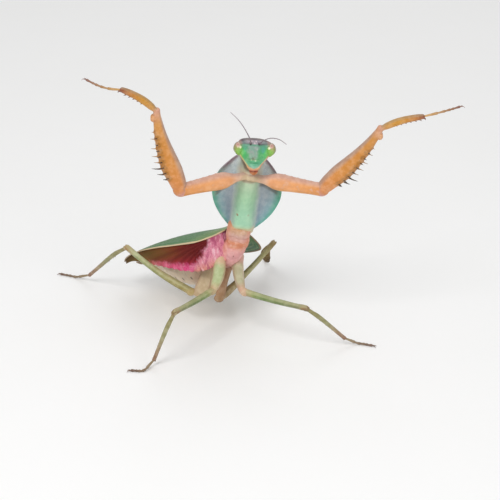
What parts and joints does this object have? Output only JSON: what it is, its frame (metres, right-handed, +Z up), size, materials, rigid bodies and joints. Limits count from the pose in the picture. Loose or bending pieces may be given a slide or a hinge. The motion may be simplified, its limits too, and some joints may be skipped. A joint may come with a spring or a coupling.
{
  "type": "praying mantis",
  "caption": "Life-size still model of an adult female shield mantis in threat display, forelegs spread and raised, standing on its walking legs.",
  "frame": {"origin": "middle of the bounding box, at the floor that the four walking feet stand on", "axes": "+Z up; the animal faces -Y; +X towards the animal's left"},
  "size_m": [0.1194, 0.0786, 0.0829],
  "materials": {
    "head_cuticle": "satin green cuticle with a grey stripe down the face",
    "eye": "smooth gloss compound eye, green with an olive rim",
    "mouthparts": "satin orange-brown",
    "feeler": "matt purple-brown",
    "thorax_cuticle": "satin pink cuticle with soft folds",
    "prothorax_cuticle": "satin pale green cuticle",
    "shield_cuticle": "satin, grey-lilac beside the midline and teal at the edge",
    "abdomen_cuticle": "satin cream cuticle in segments",
    "forewing": "leathery green wing cover with veins and a cream edge",
    "hindwing": "membrane, brown to dark red with a ruffled pink edge",
    "foreleg_cuticle": "satin orange cuticle",
    "leg_cuticle": "satin olive green cuticle",
    "foot_cuticle": "satin brown"
  },
  "bodies": {
    "root": {"head": "head_cuticle", "eye_left": "eye", "eye_right": "eye", "mouthparts": "mouthparts", "antenna_left": "feeler", "antenna_right": "feeler", "neck": "thorax_cuticle", "prothorax": "prothorax_cuticle", "pronotum_shield": "shield_cuticle", "mesothorax": "thorax_cuticle", "metathorax": "thorax_cuticle", "abdomen": "abdomen_cuticle", "cercus_left": "abdomen_cuticle", "cercus_right": "abdomen_cuticle", "tegmen_left": "forewing", "tegmen_right": "forewing", "hindwing_left": "hindwing", "hindwing_right": "hindwing", "fore_coxa_left": "foreleg_cuticle", "fore_coxa_right": "foreleg_cuticle", "fore_femur_left": "foreleg_cuticle", "fore_femur_right": "foreleg_cuticle", "fore_tibia_left": "foreleg_cuticle", "fore_tibia_right": "foreleg_cuticle", "fore_tarsus_left": "foot_cuticle", "fore_tarsus_right": "foot_cuticle", "mid_left_coxa": "leg_cuticle", "mid_left_femur": "leg_cuticle", "mid_left_tibia": "leg_cuticle", "mid_left_tarsus": "foot_cuticle", "mid_right_coxa": "leg_cuticle", "mid_right_femur": "leg_cuticle", "mid_right_tibia": "leg_cuticle", "mid_right_tarsus": "foot_cuticle", "hind_left_coxa": "leg_cuticle", "hind_left_femur": "leg_cuticle", "hind_left_tibia": "leg_cuticle", "hind_left_tarsus": "foot_cuticle", "hind_right_coxa": "leg_cuticle", "hind_right_femur": "leg_cuticle", "hind_right_tibia": "leg_cuticle", "hind_right_tarsus": "foot_cuticle"}
  },
  "joints": []
}
